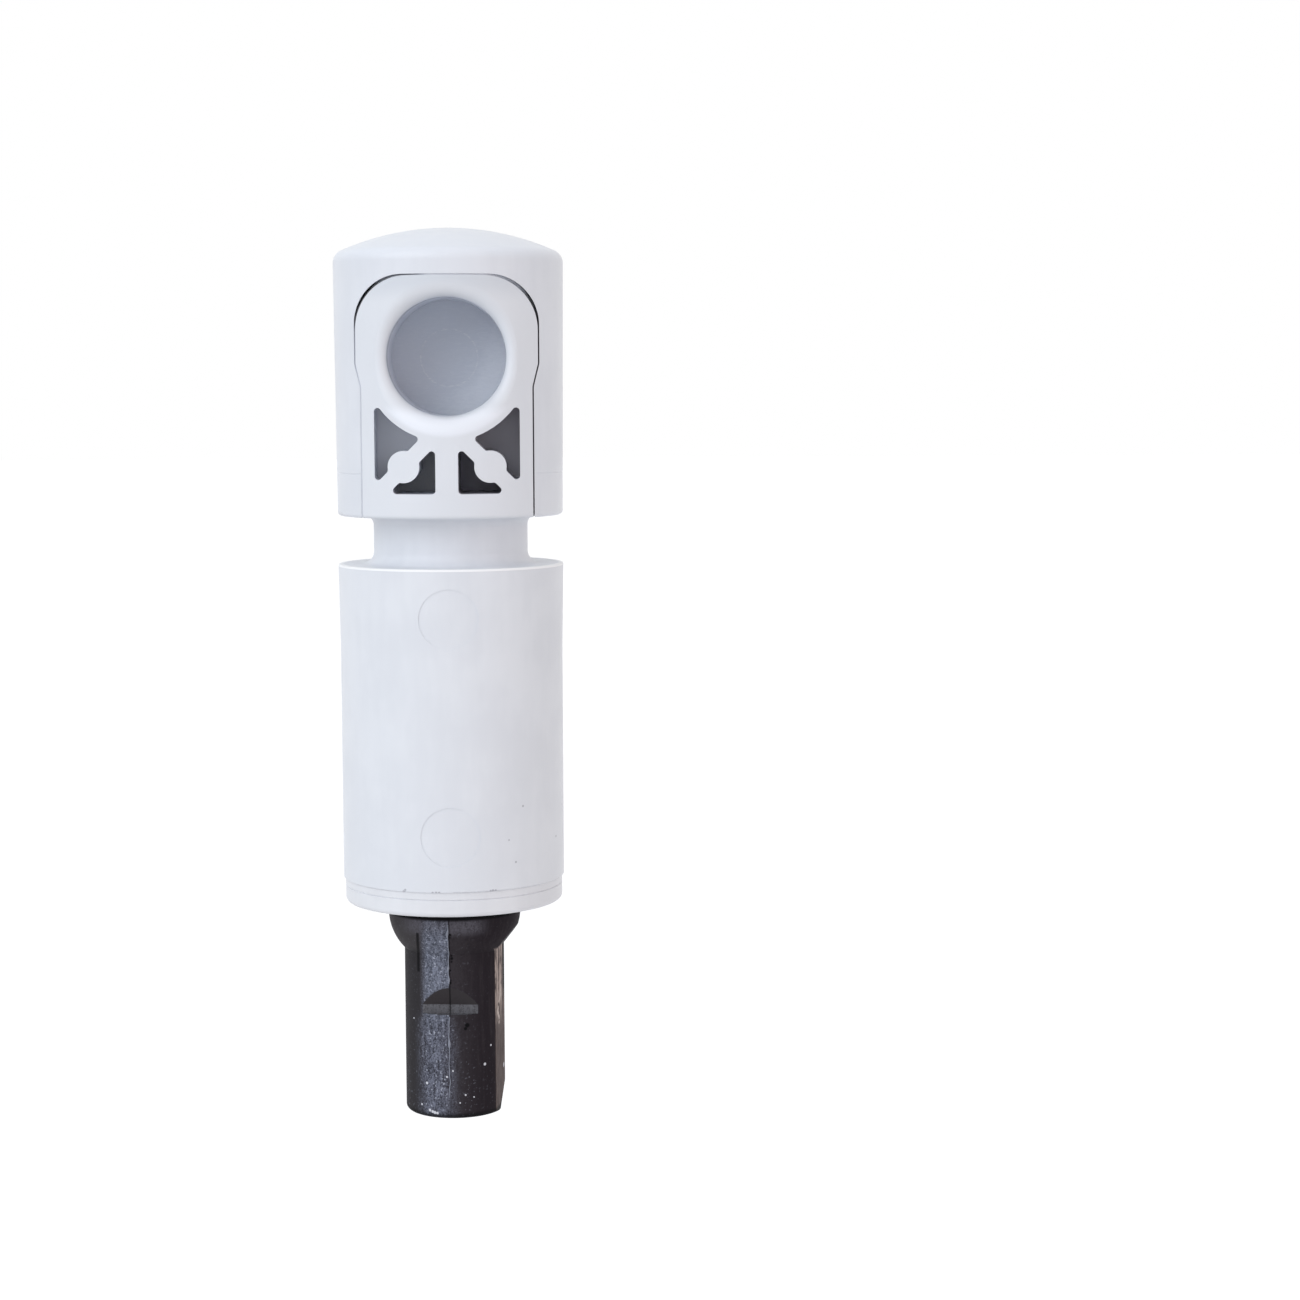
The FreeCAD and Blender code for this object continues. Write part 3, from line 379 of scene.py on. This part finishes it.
shaftSkin = dict(
    drawn=3.6, drawnStretch=(1.0, 1.0, 0.28), drawnShare=0.5, fine=7.0, fineShare=0.5,
    front=(-1.5, -0.5), low=(-60.5, -58.6),
    gloss=0.55, polish=-0.06, dullness=0.12, glossSpan=(0.35, 0.7), shine=0.03,
    bandRelief=0.8, plainRelief=0.2, reliefDepth=0.07, relief=0.8,
)

# The ground: grey left of a short step, dark with faint streaks on the right and paler beside the line, and
# painted paler on the flare's top under the cap as painted light

groundLook = dict(
    streak=3.0, streakStretch=(1.0, 1.0, 0.08), streakSpan=(0.45, 0.75), beside=(-0.4, 2.8),
    besideGrain=(0.34, 0.62, 0.4, 1.0), flare=(-53.6, -52.6), step=(-3.4, -2.6),
    dark=(0.021, 0.017, 0.021, 1), streaked=(0.031, 0.026, 0.030, 1), paler=(0.042, 0.037, 0.042, 1),
    left=(0.032, 0.030, 0.033, 1), flareLeft=(0.054, 0.050, 0.053, 1),
    cap=(-51.8, -50.8), capSpan=(-3.2, 1.6, 2.0), capGrain=(0.36, 0.60, 0.45, 1.0),
    underCapLight=(0.104, 0.099, 0.117, 1),
)


def groundTint(tree, place, x, z, grain, look):
    streaks = noise(tree, stretched(tree, place, look["streakStretch"]), look["streak"],
                    detail=3.0, roughness=0.65)
    right = blendColours(tree, ramp(tree, streaks, *look["streakSpan"]), look["dark"], look["streaked"])
    beside = times(tree, fall(tree, x, *look["beside"]), ramp(tree, grain, *look["besideGrain"]))
    right = blendColours(tree, beside, right, look["paler"])
    left = blendColours(tree, ramp(tree, z, *look["flare"]), look["left"], look["flareLeft"])
    tint = blendColours(tree, ramp(tree, x, *look["step"]), left, right)
    # painted light on the top of the flare just under the cap
    underCapLight = times(tree, ramp(tree, z, *look["cap"]), between(tree, x, *look["capSpan"]),
                     ramp(tree, grain, *look["capGrain"]))
    return blendColours(tree, underCapLight, tint, look["underCapLight"])


# The band: a grainier mould half, cut sharp by the parting line above the notch and fading out below it; its
# pale bluish colour is a painted reflection of the key lamp, and its glass grains are painted bright as
# painted glints

bandSheenLook = dict(
    sharp=(-0.50, -0.40), faded=(-1.7, 0.9), upperLeft=(-3.20, -2.30), lowerLeft=(-3.8, -2.2),
    top=(-52.0, -50.2, 1.0, 0.45), grainSpan=(0.38, 0.62),
    upper=(0.205, 0.222, 0.282, 1), upperDark=(0.064, 0.069, 0.089, 1),
    lower=(0.172, 0.183, 0.236, 1), lowerDark=(0.036, 0.037, 0.047, 1),
    sparkle=4.6, sparkleSpan=(0.63, 0.74), scatterHeight=(-66.5, -60.0, 0.24, 0.07),
    scatterSide=(1.2, 2.6, 1.0, 0.35), sparkleColour=(0.35, 0.37, 0.44, 1),
)


def bandShare(tree, x, z, front, low, look):
    right = swapOver(tree, low, fall(tree, x, *look["sharp"]), fall(tree, x, *look["faded"]))
    left = swapOver(tree, low, ramp(tree, x, *look["upperLeft"]), ramp(tree, x, *look["lowerLeft"]))
    return times(tree, right, left, front, ramp(tree, z, *look["top"]))


def bandSheenTint(tree, place, x, z, front, low, grain, band, tint, look):
    # the band's pale colours are a painted reflection over the grain of that mould half
    pale = blendColours(tree, low, look["upper"], look["lower"])
    dark = blendColours(tree, low, look["upperDark"], look["lowerDark"])
    grains = blendColours(tree, ramp(tree, grain, *look["grainSpan"]), dark, pale)
    tint = blendColours(tree, band, tint, grains)
    # painted glints on the glass grains
    sparkle = ramp(tree, noise(tree, place, look["sparkle"], detail=1.0), *look["sparkleSpan"])
    scattered = times(tree, ramp(tree, z, *look["scatterHeight"]), front,
                      ramp(tree, x, *look["scatterSide"]))
    sparkle = times(tree, sparkle, calc(tree, "MAXIMUM", band, scattered))
    return blendColours(tree, sparkle, tint, look["sparkleColour"])


# The drive flat: a plane turned a little to the front, scuffed brownish, chipped, dark along its far edge

flatLook = dict(
    skin=(4.09, 4.13), top=(-53.6, -53.0), scuff=1.8, scuffStretch=(1.0, 1.0, 0.35), scuffSpan=(0.36, 0.56),
    scuffHeight=(-61.5, -56.5, 0.10, 1.0), farEdge=(0.9, 1.3), farHeight=(-60.0, -57.0),
    plain=(0.078, 0.060, 0.059, 1), worn=(0.430, 0.350, 0.318, 1), edge=(0.020, 0.016, 0.017, 1),
    chip=(0.54, 0.47, 0.43, 1),
    chips=((0.29, -57.18, 0.30), (0.17, -57.55, 0.34), (0.05, -57.91, 0.36), (-0.23, -58.22, 0.34),
           (-0.54, -58.50, 0.30), (-0.95, -59.00, 0.34), (-1.12, -59.25, 0.40), (-0.85, -59.58, 0.36),
           (-0.53, -59.91, 0.32), (-0.55, -60.35, 0.24)),
)


def flatTint(tree, place, x, y, z, tint, look):
    turn = math.radians(solid["flatTurn"])
    out = weighted(tree, x, math.cos(turn), y, math.sin(turn))
    along = weighted(tree, y, math.cos(turn), x, -math.sin(turn))
    onPlane = times(tree, ramp(tree, out, *look["skin"]), fall(tree, z, *look["top"]))
    scuff = noise(tree, stretched(tree, place, look["scuffStretch"]), look["scuff"],
                  detail=4.0, roughness=0.6)
    scuffed = times(tree, ramp(tree, scuff, *look["scuffSpan"]), ramp(tree, z, *look["scuffHeight"]))
    surface = blendColours(tree, scuffed, look["plain"], look["worn"])
    surface = blendColours(tree, spots(tree, place, onFlat(look["chips"])), surface, look["chip"])
    farEdge = times(tree, ramp(tree, along, *look["farEdge"]), ramp(tree, z, *look["farHeight"]))
    surface = blendColours(tree, farEdge, surface, look["edge"])
    return blendColours(tree, onPlane, tint, surface)


# The catch notch: a dark slope over a grainy ledge painted lighter as painted light

notchLook = dict(reach=(4.48, 4.54), height=(-59.0, -56.2, 0.03), side=(-3.4, 3.0, 0.2),
                 ledgeTop=(-58.16, -58.10), ledgeGrain=(0.34, 0.56, 0.35, 1.0),
                 slope=(0.042, 0.038, 0.041, 1), ledge=(0.125, 0.126, 0.140, 1))


def notchTint(tree, x, z, reach, grain, tint, look):
    within = times(tree, fall(tree, reach, *look["reach"]), between(tree, z, *look["height"]),
                   between(tree, x, *look["side"]))
    # painted light on the ledge
    ledge = blendColours(tree, ramp(tree, grain, *look["ledgeGrain"]), look["slope"], look["ledge"])
    inside = blendColours(tree, ramp(tree, z, *look["ledgeTop"]), ledge, look["slope"])
    return blendColours(tree, within, tint, inside)


# Marks: the parting line, a dark line along a short step on the left as painted shade, pits, pale specks,
# and painted shadow under the cap's edge and painted shade round the tip

markLook = dict(
    line=(-0.42, -0.34, 0.05), lineHeight=(-59.5, -58.5, 0.25, 0.75),
    step=(-3.30, -3.14, 0.08), stepShadeHeight=(-55.1, -51.4, 0.15), stepShadeShare=0.85,
    capShadow=(-50.25, -49.95), tipShade=(-68.25, -67.80, 0.85, 0.0),
    pitAndShade=(0.006, 0.006, 0.007, 1), speck=(0.62, 0.63, 0.68, 1),
    pits=((-0.30, -51.38, 0.20), (-0.29, -51.65, 0.14), (-0.20, -53.50, 0.12), (-0.18, -53.75, 0.17),
          (-0.20, -54.05, 0.12), (-0.34, -54.85, 0.14), (-0.32, -55.75, 0.14), (-0.34, -55.98, 0.18),
          (-0.42, -61.70, 0.14), (-0.46, -61.98, 0.18), (1.15, -59.9, 0.28), (1.00, -60.2, 0.20)),
    flatPits=((-0.68, -58.66, 0.24),),
    specks=((-3.71, -59.57, 0.10), (3.25, -62.03, 0.12), (2.70, -63.66, 0.17), (-0.17, -64.05, 0.10),
            (-2.55, -65.31, 0.16), (-0.72, -64.60, 0.12), (-3.04, -67.35, 0.12), (-2.30, -67.78, 0.17),
            (-2.05, -67.88, 0.17), (-1.85, -67.95, 0.18), (-1.62, -67.98, 0.16), (0.95, -66.30, 0.11),
            (1.70, -66.55, 0.09), (0.45, -67.00, 0.09)),
    flatSpecks=((1.40, -64.80, 0.30),),
)


def markTint(tree, place, x, z, front, tint, look):
    line = times(tree, between(tree, x, *look["line"]), ramp(tree, z, *look["lineHeight"]), front)
    # painted shade along the short step on the left
    step = times(tree, between(tree, x, *look["step"]), between(tree, z, *look["stepShadeHeight"]), front,
                 look["stepShadeShare"])
    pits = spots(tree, place, onFront(look["pits"], shaftRadius) + onFlat(look["flatPits"]))
    dark = calc(tree, "MAXIMUM", calc(tree, "MAXIMUM", line, step), pits)
    tint = blendColours(tree, dark, tint, look["pitAndShade"])
    # painted shadow under the cap's edge and painted shade round the tip, in the pits' dark colour
    ends = calc(tree, "MAXIMUM", ramp(tree, z, *look["capShadow"]), ramp(tree, z, *look["tipShade"]))
    tint = blendColours(tree, ends, tint, look["pitAndShade"])
    specks = spots(tree, place, onFront(look["specks"], shaftRadius) + onFlat(look["flatSpecks"]))
    return blendColours(tree, specks, tint, look["speck"])


def blackShaft(skin):
    material, tree, shader, where = startFinish("glass_filled_black")
    place = where["Object"]
    x, y, z, reach = millimetres(tree, place)
    front = fall(tree, y, *skin["front"])
    low = fall(tree, z, *skin["low"])
    drawn = noise(tree, stretched(tree, place, skin["drawnStretch"]), skin["drawn"],
                  detail=3.0, roughness=0.7)
    fine = noise(tree, place, skin["fine"], detail=2.0, roughness=0.6)
    grain = weighted(tree, drawn, skin["drawnShare"], fine, skin["fineShare"])
    band = bandShare(tree, x, z, front, low, bandSheenLook)
    tint = groundTint(tree, place, x, z, grain, groundLook)
    tint = bandSheenTint(tree, place, x, z, front, low, grain, band, tint, bandSheenLook)
    tint = flatTint(tree, place, x, y, z, tint, flatLook)
    tint = notchTint(tree, x, z, reach, grain, tint, notchLook)
    tint = markTint(tree, place, x, z, front, tint, markLook)
    plug(tree, tint, shader.inputs["Base Color"])
    glossy, dull = skin["gloss"] + skin["polish"], skin["gloss"] + skin["dullness"]
    plug(tree, ramp(tree, grain, *skin["glossSpan"], glossy, dull), shader.inputs["Roughness"])
    shader.inputs["Specular IOR Level"].default_value = skin["shine"]
    rough = times(tree, grain, calc(tree, "ADD", times(tree, band, skin["bandRelief"]), skin["plainRelief"]))
    plug(tree, bump(tree, rough, skin["reliefDepth"], skin["relief"]), shader.inputs["Normal"])
    return material


dress("rotor_shaft", blackShaft(shaftSkin))
print("shaft finish done")


# Two fine mouldings ride on the CAD: the seam's contact land and the flash on the shaft's parting line

def unit(vectors):
    return vectors / np.linalg.norm(vectors, axis=1, keepdims=True)


def makeBead(name, path, halfWidth, halfHeight, around=12):
    # surface over two parameters: each step along the path carries an ellipse, cosine across, sine outward
    outward = unit(path * [1.0, 1.0, 0.0])
    across = unit(np.cross(outward, np.gradient(path, axis=0)))
    angle = np.linspace(0.0, 2.0 * np.pi, around, endpoint=False)
    ring = (np.cos(angle)[None, :, None] * (across * halfWidth[:, None])[:, None, :]
            + np.sin(angle)[None, :, None] * (outward * halfHeight[:, None])[:, None, :])
    points = (path[:, None, :] + ring).reshape(-1, 3) * mm
    steps = len(path)
    row, column = np.meshgrid(np.arange(steps - 1), np.arange(around), indexing="ij")
    nextColumn = (column + 1) % around
    quads = np.stack([row * around + column, row * around + nextColumn,
                      (row + 1) * around + nextColumn, (row + 1) * around + column], -1).reshape(-1, 4)
    ends = [list(range(around - 1, -1, -1)), list(range((steps - 1) * around, steps * around))]
    mesh = bpy.data.meshes.new(name)
    mesh.from_pydata(points.tolist(), [], quads.tolist() + ends)
    mesh.polygons.foreach_set("use_smooth", np.ones(len(mesh.polygons), dtype=bool))
    mesh.update()
    piece = bpy.data.objects.new(name, mesh)
    bpy.context.scene.collection.objects.link(piece)
    return piece


def beadFinish(name, look):
    material, tree, shader, where = startFinish(name)
    fleck = noise(tree, where["Object"], look["fleck"], detail=3.0)
    plug(tree, blendColours(tree, fleck, look["shade"], look["colour"]), shader.inputs["Base Color"])
    shader.inputs["Roughness"].default_value = look["gloss"]
    shader.inputs["Specular IOR Level"].default_value = look["shine"]
    return material


# The land closes the seam on the left and along the top, and sinks where the seam gapes

landLook = dict(half=8.015, lowerHalf=7.515, top=7.02, corner=4.45, bottom=-13.95, snap=(-2.6, -0.6),
                radius=10.1, taper=0.00677, foot=-14.05, width=0.10, height=0.10, bendSteps=25, steps=320,
                stops=(0.0, 0.20, 0.30, 0.37, 0.43, 0.47, 0.56, 0.62, 0.68, 0.75, 1.0),
                depths=(0.02, 0.02, 0.12, 1.20, 0.80, 0.06, 0.08, 0.70, 1.20, 1.20, 1.20),
                spreadAt=(3.6, 5.6, 8.0), spread=(1.0, 1.6, 1.0),
                colour=(0.70, 0.72, 0.77, 1), shade=(0.62, 0.64, 0.70, 1), fleck=2.5, gloss=0.5, shine=0.3)


def makeLand(look):
    # outline from the lower left, up over the arch and down to the lower right, laid on the tapered skin;
    # depths are given at stops, as shares of its length
    bend = np.radians(np.linspace(180.0, 90.0, look["bendSteps"]))
    arcX = look["corner"] * (1.0 + np.cos(bend)) - look["half"]
    arcZ = look["corner"] * (np.sin(bend) - 1.0) + look["top"]
    leftX = np.r_[[-look["lowerHalf"], -look["lowerHalf"], -look["half"]], arcX]
    leftZ = np.r_[[look["bottom"], *look["snap"]], arcZ]
    corners = np.c_[np.r_[leftX, -leftX[::-1]], np.r_[leftZ, leftZ[::-1]]]
    length = np.r_[0.0, np.cumsum(np.hypot(*np.diff(corners, axis=0).T))]
    share = np.linspace(0.0, length[-1], look["steps"])
    x, z = (np.interp(share, length, corners[:, axis]) for axis in (0, 1))
    sink = np.interp(share / length[-1], look["stops"], look["depths"])
    skin = look["radius"] + look["taper"] * (z - look["foot"]) - sink - look["height"]
    path = np.c_[x, -np.sqrt(skin**2 - x**2), z]
    widths = np.interp(np.abs(x), look["spreadAt"], look["spread"]) * look["width"]
    piece = makeBead("seam_land", path, widths, np.full(len(x), look["height"]))
    piece.data.materials.append(beadFinish("seam_land_white", look))
    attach(piece, "housing")


makeLand(landLook)


# The flash follows the parting line down the shaft, over the flare, and swells where the mould has leaked

# the flash is the shaft's black plastic; its pale bluish colour is a painted highlight
flashLook = dict(x=-0.47, spans=((-50.4, -56.1), (-59.1, -66.5)), steps=160, width=0.035, height=0.03,
                 leaks=((-51.25, 0.09, 0.30), (-54.65, 0.08, 0.22), (-55.70, 0.07, 0.20),
                        (-61.60, 0.09, 0.34)),
                 waves=((0.03, 2.1, 0.0), (0.02, 5.3, 1.0)), lean=0.4, lift=0.7,
                 colour=(0.33, 0.35, 0.42, 1), shade=(0.15, 0.16, 0.195, 1), fleck=2.5, gloss=0.5, shine=0.1)


def makeFlash(look):
    # each leak is a bell curve along z with its own swell and length; two sine waves let the line wander
    finish = beadFinish("shaft_flash", look)
    middles, swells, lengths = (np.array(column)[:, None] for column in zip(*look["leaks"]))
    for number, (top, bottom) in enumerate(look["spans"], start=1):
        z = np.linspace(top, bottom, look["steps"])
        swell = (swells * np.exp(-((z - middles) / lengths)**2)).sum(axis=0)
        wander = sum(size * np.sin(rate * z + phase) for size, rate, phase in look["waves"])
        x = look["x"] + wander - look["lean"] * swell
        path = np.c_[x, -np.sqrt(shaftRadius(z)**2 - x**2), z]
        widths, heights = look["width"] + swell, look["height"] + look["lift"] * swell
        piece = makeBead(f"shaft_flash_{number}", path, widths, heights)
        piece.data.materials.append(finish)
        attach(piece, "rotor")


makeFlash(flashLook)
print("seam land and flash done")


# Inner pieces: valve clips, seals and washer

innerFinishes = {
    "valve_plastic": dict(colour=(0.62, 0.58, 0.50, 1), shade=(0.52, 0.48, 0.41, 1), gloss=0.45,
                          on=("vane_valve_right", "vane_valve_left")),
    "seal_rubber": dict(colour=(0.035, 0.034, 0.033, 1), shade=(0.022, 0.021, 0.021, 1), gloss=0.62,
                        on=("cap_seal", "shaft_seal")),
    "washer_plastic": dict(colour=(0.70, 0.69, 0.66, 1), shade=(0.62, 0.61, 0.58, 1), gloss=0.5,
                           on=("thrust_washer",)),
}
innerSkin = dict(clouds=0.8, cloudSpan=(0.3, 0.7), polish=-0.05, dullness=0.08,
                 grain=8.0, grainDepth=0.006, relief=0.5)


def innerPlastic(name, look, skin):
    material, tree, shader, where = startFinish(name)
    clouds = noise(tree, where["Object"], skin["clouds"], detail=3.0)
    plug(tree, blendColours(tree, clouds, look["shade"], look["colour"]), shader.inputs["Base Color"])
    glossy, dull = look["gloss"] + skin["polish"], look["gloss"] + skin["dullness"]
    plug(tree, ramp(tree, clouds, *skin["cloudSpan"], glossy, dull), shader.inputs["Roughness"])
    grain = noise(tree, where["Object"], skin["grain"], detail=2.0)
    plug(tree, bump(tree, grain, skin["grainDepth"], skin["relief"]), shader.inputs["Normal"])
    return material


for finishName, look in innerFinishes.items():
    finish = innerPlastic(finishName, look, innerSkin)
    for nodeName in look["on"]:
        dress(nodeName, finish)
print("inner finishes done")


# Floor, far enough below the held damper that its shadow is soft

floorLook = dict(drop=95 * mm, half=6.0, colour=(0.86, 0.86, 0.87, 1), dullness=0.9, lift=0.34)


def seenWhite(tree):
    # 1 for the rays that show the background: camera, glossy and transmission
    path = tree.nodes.new("ShaderNodeLightPath")
    seen = calc(tree, "MAXIMUM", path.outputs["Is Camera Ray"], path.outputs["Is Glossy Ray"])
    return calc(tree, "MAXIMUM", seen, path.outputs["Is Transmission Ray"])


def makeFloor(look):
    level = cadBox[0][2] - look["drop"]
    half = look["half"]
    corners = [(-half, -half, level), (half, -half, level), (half, half, level), (-half, half, level)]
    mesh = bpy.data.meshes.new("floor")
    mesh.from_pydata(corners, [], [(0, 1, 2, 3)])
    floor = bpy.data.objects.new("floor", mesh)
    bpy.context.scene.collection.objects.link(floor)
    material = bpy.data.materials.new("pale_floor")
    material.use_nodes = True
    tree = material.node_tree
    shader = tree.nodes["Principled BSDF"]
    shader.inputs["Base Color"].default_value = look["colour"]
    shader.inputs["Roughness"].default_value = look["dullness"]
    shader.inputs["Specular IOR Level"].default_value = 0.0
    shader.inputs["Emission Color"].default_value = (1, 1, 1, 1)
    plug(tree, times(tree, seenWhite(tree), look["lift"]), shader.inputs["Emission Strength"])
    mesh.materials.append(material)


makeFloor(floorLook)


# Soft light: an even white surround, a large cool lamp from the upper left, a weak warm one from the right

lightLook = dict(
    surround=0.66,
    key=dict(towards=(0.54, 0.64, -0.45), spread=56, power=1.18, colour=(0.92, 0.98, 1.05)),
    fill=dict(towards=(-0.76, 0.64, -0.02), spread=50, power=0.50, colour=(1.0, 0.66, 0.57)),
)


def makeSurround(look):
    world = bpy.data.worlds.new("white_surround")
    bpy.context.scene.world = world
    world.use_nodes = True
    tree = world.node_tree
    background = tree.nodes["Background"]
    background.inputs["Color"].default_value = (1, 1, 1, 1)
    plug(tree, ramp(tree, seenWhite(tree), 0.0, 1.0, look["surround"], 1.0), background.inputs["Strength"])


def makeLamp(name, look):
    lamp = bpy.data.lights.new(name, "SUN")
    lamp.angle = math.radians(look["spread"])
    lamp.energy = look["power"]
    lamp.color = look["colour"]
    holder = bpy.data.objects.new(name, lamp)
    holder.rotation_euler = Vector(look["towards"]).to_track_quat("-Z", "Y").to_euler()
    bpy.context.scene.collection.objects.link(holder)


makeSurround(lightLook)
makeLamp("key_lamp", lightLook["key"])
makeLamp("fill_lamp", lightLook["fill"])
bpy.context.scene.view_settings.view_transform = "Standard"
print("light done")


# Camera, level with the head and a little to the right, turned and pitched to the picture's middle

cameraLook = dict(place=(7.66 * mm, -249.55 * mm, -2.63 * mm), yaw=2.359, pitch=5.452, roll=-0.201,
                  lens=76.488, sensor=36.0, near=0.01)


def makeCamera(look):
    camera = bpy.data.cameras.new("photo_camera")
    camera.lens = look["lens"]
    camera.sensor_width = look["sensor"]
    camera.clip_start = look["near"]
    holder = bpy.data.objects.new("photo_camera", camera)
    holder.location = look["place"]
    tilt = Euler((math.radians(90 - look["pitch"]), 0, 0)).to_matrix()
    turn = Euler((0, 0, math.radians(look["roll"]))).to_matrix()
    swing = Euler((0, 0, math.radians(-look["yaw"]))).to_matrix()
    holder.rotation_euler = (swing @ tilt @ turn).to_euler()
    bpy.context.scene.collection.objects.link(holder)
    bpy.context.scene.camera = holder


makeCamera(cameraLook)
print("camera done")
